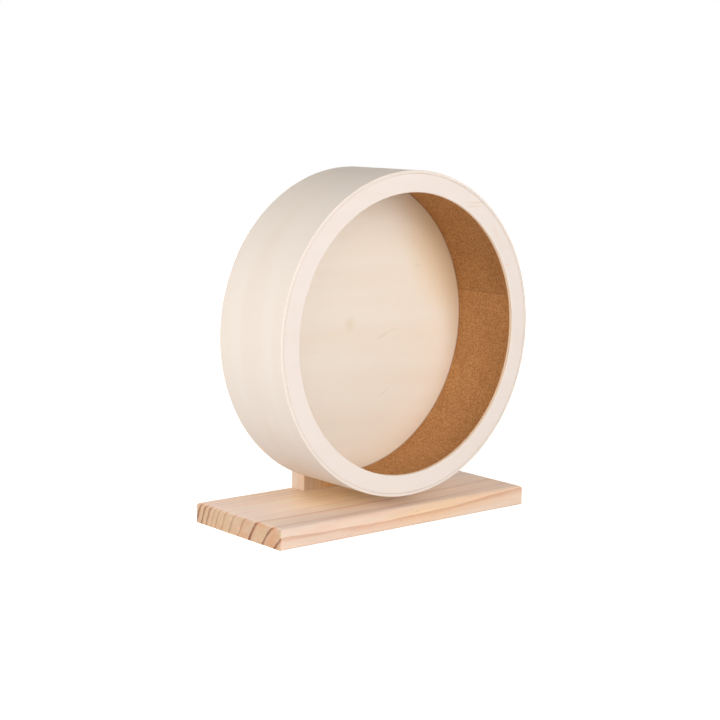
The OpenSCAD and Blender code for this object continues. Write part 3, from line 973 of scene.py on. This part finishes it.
# %% [markdown]
# ## The hoop and the cork lining
# The hoop is sanded after it has been bent, which leaves it uneven by a few hundredths, and its
# edges show the glue lines as fine grooves. The cork is cut from a sheet and keeps its crumbs.
# Both end in a butt joint with a gap as thin as a line.

# %% Grow the hoop and the cork
JOINT_GAP_MM = 0.3
BACK_ALONG_Y = (-math.pi / 2, 0.0, 0.0)
HOOP_SEGMENTS, HOOP_STEP, HOOP_ROUND, HOOP_INNER_ROUND = 480, 2.5, 0.5, 0.15
HOOP_UNEVEN, HOOP_PATCH, HOOP_FACE_DEEP = 0.05, 24, 0.3
CORK_T, CORK_ROUND, CORK_SEGMENTS, CORK_STEP, CORK_FACE_DEEP = 3.95, 0.3, 800, 1.05, 0.2


def bent_strip(name, tree, outline, front_y, joint_deg, radius, segments, **given):
    """Grows a strip from its outline. Angles count up from +X, seen from the front."""
    gap = JOINT_GAP_MM / radius
    points = [(radius + out, back) for out, back in outline]
    values = {
        "Section": section(name + " section", points, radius), "Radius": radius * MM,
        "Start": -math.radians(joint_deg) + gap / 2, "Sweep": 2 * math.pi - gap,
        "Segments": segments, "Closed": False,
        "Axis point": (0.0, front_y * MM, AXLE.z * MM), "Turn": BACK_ALONG_Y,
    }
    return grow(name, tree, {**values, **spaced(given)})


hoop_outline = strip_outline(
    HOOP_T, hoop_high.y - hoop_low.y, HOOP_ROUND, HOOP_INNER_ROUND,
    (HOOP_T / 3, 2 * HOOP_T / 3), outer_step=HOOP_STEP,
)
hoop_tree = strip_tree("Bent strip", "Unevenness", "Patch size", "GREATER_THAN", sanded)
hoop = bent_strip(
    "hoop_of_bent_plywood", hoop_tree, hoop_outline, hoop_low.y, HOOP_JOINT_DEG,
    HOOP_R - HOOP_T, HOOP_SEGMENTS, Unevenness=HOOP_UNEVEN * MM, Patch_size=HOOP_PATCH * MM,
    Face_radius=(HOOP_R - HOOP_FACE_DEEP) * MM, Finish=hoop_ply,
)
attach(hoop, "drum")
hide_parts("running_hoop")

cork_inner = (cork_high.x - cork_low.x) / 2 - CORK_T
cork_outline = strip_outline(
    CORK_T, cork_high.y - cork_low.y, CORK_ROUND, CORK_ROUND, inner_step=CORK_STEP
)
cork_tree = strip_tree("Cork strip", "Relief", "Crumb size", "LESS_THAN", crumbs)
lining = bent_strip(
    "lining_of_pressed_cork", cork_tree, cork_outline, cork_low.y, CORK_JOINT_DEG,
    cork_inner, CORK_SEGMENTS, Relief=CRUMB_RELIEF_MM * MM, Crumb_size=CRUMB_MM * MM,
    Face_radius=(cork_inner + CORK_FACE_DEEP) * MM, Finish=cork_finish,
)
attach(lining, "drum")
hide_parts("cork_lining")

# %% [markdown]
# ## Bolt, screws and dowels
# The bolt that turns with the drum has a domed head, a square neck that bites into the hub block,
# and a rolled thread for the nut. Two wood screws come up through the base board into the post,
# beside two fluted dowels. A thread could be a helix cut out with a Boolean, which is slow and
# often fails. Here one tree turns a drawn profile into a round pin and then presses ridges into it
# by a formula: the angle and the height tell each point how far it is from the nearest crest.
# Ridges that climb make a thread, and ridges that don't climb are the flutes of a dowel.

# %% The tree that presses ridges into a pin
PRESSING = (
    "Ridges", "Turns per metre", "Depth share", "Root", "Crest", "First", "Last", "Run out",
    "Flat", "Flat from", "Flat to",
)
PIN_INPUTS = (
    ("Section", "Object"), ("Radius", "Float"), ("Segments", "Int"),
    *((label, "Float") for label in PRESSING), ("Count", "Int"), ("Axis point", "Vector"),
    ("Step", "Vector"), ("Turn", "Vector"), ("Finish", "Material"),
)
RECESS_R, RECESS_TIP_R, RECESS_DEPTH, RECESS_LIFT, WING_SLIM = 3.4, 0.9, 1.9, -0.1, 0.2


def pressed(p, given):
    """A turned pin whose points are drawn in towards the axis for a square neck and for ridges."""
    whole = dict(given, Start=0.0, Sweep=math.tau, Closed=True)
    whole.update({"Axis point": (0.0, 0.0, 0.0), "Turn": (0.0, 0.0, 0.0)})
    pin = sweep_in(p, whole)
    x, y, z = p.split(p.node("GeometryNodeInputPosition").outputs[0])

    wider = p.math("MAXIMUM", p.math("ABSOLUTE", x), p.math("ABSOLUTE", y))
    to_flat = p.math("MINIMUM", 1.0, p.math("DIVIDE", given["Flat"], wider))
    at_neck = p.times(p.math("GREATER_THAN", z, given["Flat from"]),
                     p.math("LESS_THAN", z, given["Flat to"]))
    cut = p.times(at_neck, p.minus(1.0, to_flat))

    round_it = p.math("DIVIDE", p.math("ARCTAN2", y, x), math.tau)
    climb = p.times(z, given["Turns per metre"])
    phase = p.math("FRACT", p.minus(climb, p.times(round_it, given["Ridges"])))
    near = p.math("ABSOLUTE", p.minus(p.times(phase, 2.0), 1.0))
    hollow = p.add("ShaderNodeMapRange", near, given["Root"], given["Crest"], 1.0, 0.0)
    deep_from = p.math("ADD", given["First"], given["Run out"])
    begins = p.add("ShaderNodeMapRange", z, given["First"], deep_from)
    deep_to = p.minus(given["Last"], given["Run out"])
    ends = p.add("ShaderNodeMapRange", z, given["Last"], deep_to)
    pressing = p.times(p.times(hollow, begins), p.times(ends, given["Depth share"]))
    inwards = p.times(p.math("ADD", pressing, cut), -1.0)
    offset = p.vector("SCALE", p.join(x, y, 0.0), inwards)
    return p.named("GeometryNodeSetPosition", {"Geometry": pin, "Offset": offset})


def wing(p, turn_deg):
    """One of the two tapered slots of a cross recess, on the flat of a head."""
    shape = p.named("GeometryNodeMeshCone", {
        "Vertices": 4, "Radius Top": RECESS_TIP_R * MM, "Radius Bottom": RECESS_R * MM,
        "Depth": RECESS_DEPTH * MM,
    }, "Mesh")
    for move in (
        {"Rotation": (0.0, 0.0, math.radians(45))},
        {"Scale": (1.0, WING_SLIM, 1.0), "Translation": (0.0, 0.0, RECESS_LIFT * MM)},
        {"Rotation": (0.0, 0.0, math.radians(turn_deg))},
    ):
        shape = p.named("GeometryNodeTransform", {"Geometry": shape, **move})
    return shape


def pin_tree(name, cross_recess=False):
    """Pins in a row, each of them pressed, and with a cross in its head if asked."""
    tree, p, given = geometry_tree(name, *PIN_INPUTS)
    pin = pressed(p, given)
    for turn_deg in (0, 90) if cross_recess else ():
        cutter = {"Mesh 1": pin, "Mesh 2": wing(p, turn_deg)}
        pin = p.named(
            "GeometryNodeMeshBoolean", cutter, "Mesh", operation="DIFFERENCE", solver="EXACT"
        )
    row = p.named("GeometryNodeMeshLine", {
        "Count": given["Count"], "Start Location": given["Axis point"], "Offset": given["Step"],
    }, mode="OFFSET")
    copies = p.named("GeometryNodeInstanceOnPoints", {
        "Points": row, "Instance": pin, "Rotation": given["Turn"],
    })
    end_tree(p, copies, given["Finish"])
    return tree


# %% Profiles and values of the pins
def rows(first, last, step, out):
    """Points (out, back) along a straight shank, close enough together to carry ridges."""
    count = max(1, round((last - first) / step))
    return [(out, first + (last - first) * i / count) for i in range(count + 1)]


def pin(name, tree, profile, node, body, slot, **given):
    """Grows pins from a profile of (out, back) in mm, in place of a solid."""
    centre = max(out for out, back in profile) / 2
    values = {
        "Section": section(name + " profile", profile, centre, closed=False),
        "Radius": centre * MM, "Ridges": 1.0, "Turns per metre": 0.0,
        "Depth share": 0.0, "Root": 0.2, "Crest": 0.9, "First": 0.0, "Last": 1.0,
        "Run out": 0.4 * MM, "Flat": 1.0, "Flat from": 0.0, "Flat to": 0.0, "Count": 1,
        "Step": (0.0, 0.0, 0.0), "Turn": (0.0, 0.0, 0.0),
    }
    piece = grow(name, tree, {**values, **spaced(given)})
    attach(piece, body)
    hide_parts(node)


# %% The bolt
bolt_low, bolt_high = box_mm("axle_bolt")
HEAD_R = (bolt_high.x - bolt_low.x) / 2
HEAD_H, HEAD_EDGE, DOME_STEPS = 4.6, 0.15, 10
NECK_H, NECK_W, NECK_R, NECK_EASE = 4.2, 8.0, 5.3, 0.05
SHANK_R, SHANK_CHAMFER = 3.95, 1.0
THREAD_FROM, THREAD_PITCH, THREAD_DEPTH = 22.5, 1.25, 0.77
STEPS_PER_TURN = 12
neck_end = HEAD_H + NECK_H
bolt_length = bolt_high.y - bolt_low.y
dome_r = (HEAD_R**2 + HEAD_H**2) / (2 * HEAD_H)
dome = math.asin(HEAD_R / dome_r)
bolt_profile = [
    (dome_r * math.sin(a), dome_r * (1 - math.cos(a)))
    for a in (dome * i / DOME_STEPS for i in range(DOME_STEPS + 1))
]
bolt_profile += [(HEAD_R - HEAD_EDGE, HEAD_H), (NECK_R, HEAD_H), (NECK_R, HEAD_H + NECK_EASE)]
bolt_profile += [(NECK_R, neck_end - NECK_EASE), (NECK_R, neck_end), (SHANK_R, neck_end)]
bolt_profile += rows(
    THREAD_FROM, bolt_length - SHANK_CHAMFER, THREAD_PITCH / STEPS_PER_TURN, SHANK_R
)
bolt_profile += [
    (SHANK_R - SHANK_CHAMFER / 2, bolt_length - SHANK_CHAMFER / 2),
    (SHANK_R - SHANK_CHAMFER, bolt_length), (0.0, bolt_length),
]
pin(
    "bolt_with_rolled_thread", pin_tree("Threaded bolt"), bolt_profile,
    "axle_bolt", "drum", "zinc_steel",
    Segments=48, Turns_per_metre=1 / (THREAD_PITCH * MM), Depth_share=THREAD_DEPTH / SHANK_R,
    First=THREAD_FROM * MM, Run_out=THREAD_PITCH * MM, Flat=NECK_W / 2 * MM,
    Flat_from=(HEAD_H - 0.01) * MM, Flat_to=(neck_end + 0.01) * MM,
    Axis_point=(0.0, bolt_low.y * MM, AXLE.z * MM), Turn=BACK_ALONG_Y, Finish=zinc,
)

# %% The screws and the dowels
screw_low, screw_high = box_mm("post_screws")
SCREW_HEAD_R, SCREW_HEAD_H, SCREW_CREST_R, SCREW_SHANK_R = 4.4, 2.15, 2.25, 1.75
SCREW_THREAD_FROM, SCREW_PITCH, SCREW_DEPTH = 21.0, 2.2, 0.75
SCREW_TIP, SCREW_TIP_R, TIP_STEPS = 7.0, 0.4, 38
screw_length = screw_high.z - screw_low.z
screw_x = screw_high.x - SCREW_HEAD_R
tip_from = screw_length - SCREW_TIP
screw_profile = [(0.0, 0.0), (SCREW_HEAD_R - 0.1, 0.0), (SCREW_HEAD_R, 0.12), (SCREW_HEAD_R, 0.3)]
screw_profile += [(SCREW_SHANK_R, SCREW_HEAD_H + 0.4), (SCREW_SHANK_R, SCREW_THREAD_FROM - 0.8)]
screw_profile += rows(SCREW_THREAD_FROM, tip_from, SCREW_PITCH / STEPS_PER_TURN, SCREW_CREST_R)
screw_profile += [
    (SCREW_CREST_R + (SCREW_TIP_R - SCREW_CREST_R) * i / TIP_STEPS,
     tip_from + SCREW_TIP * i / TIP_STEPS)
    for i in range(1, TIP_STEPS + 1)
]
screw_profile += [(0.0, screw_length)]
pin(
    "wood_screws", pin_tree("Wood screws", cross_recess=True), screw_profile,
    "post_screws", "stand", "zinc_steel",
    Segments=32, Turns_per_metre=1 / (SCREW_PITCH * MM), Depth_share=SCREW_DEPTH / SCREW_CREST_R,
    Root=0.25, Crest=0.95, First=(SCREW_THREAD_FROM - 0.4) * MM, Run_out=0.3 * MM, Count=2,
    Axis_point=(-screw_x * MM, (screw_low.y + screw_high.y) / 2 * MM, screw_low.z * MM),
    Step=(2 * screw_x * MM, 0.0, 0.0), Finish=zinc,
)

dowel_low, dowel_high = box_mm("post_dowels")
dowel_r = (dowel_high.y - dowel_low.y) / 2
dowel_x = dowel_high.x - dowel_r
dowel_length = dowel_high.z - dowel_low.z
DOWEL_CHAMFER, DOWEL_EASE, FLUTES, FLUTE_DEPTH = 1.0, 0.4, 14.0, 0.35
dowel_end = [(0.0, 0.0), (dowel_r - DOWEL_CHAMFER, 0.0), (dowel_r - DOWEL_EASE, DOWEL_EASE)]
dowel_profile = dowel_end + rows(DOWEL_CHAMFER, dowel_length - DOWEL_CHAMFER, 2.0, dowel_r)
dowel_profile += [(out, dowel_length - back) for out, back in reversed(dowel_end)]
pin(
    "fluted_dowels", pin_tree("Fluted dowels"), dowel_profile, "post_dowels", "stand", "beech",
    Segments=112, Ridges=FLUTES, Depth_share=FLUTE_DEPTH / dowel_r, Root=0.55, Crest=0.9,
    First=0.3 * MM, Last=(dowel_length - 0.3) * MM, Run_out=0.8 * MM, Count=2,
    Axis_point=(-dowel_x * MM, (dowel_low.y + dowel_high.y) / 2 * MM, dowel_low.z * MM),
    Step=(2 * dowel_x * MM, 0.0, 0.0), Finish=beech_wood,
)

# %% [markdown]
# ## Last checks
# The dressed object has to fill the same box as the solids.

# %% Write the boxes and finish
shown_low, shown_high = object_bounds()
growth = (shown_high - shown_low) - (solid_high - solid_low)
print("grew by, in mm:", [round(size / MM, 3) for size in growth])
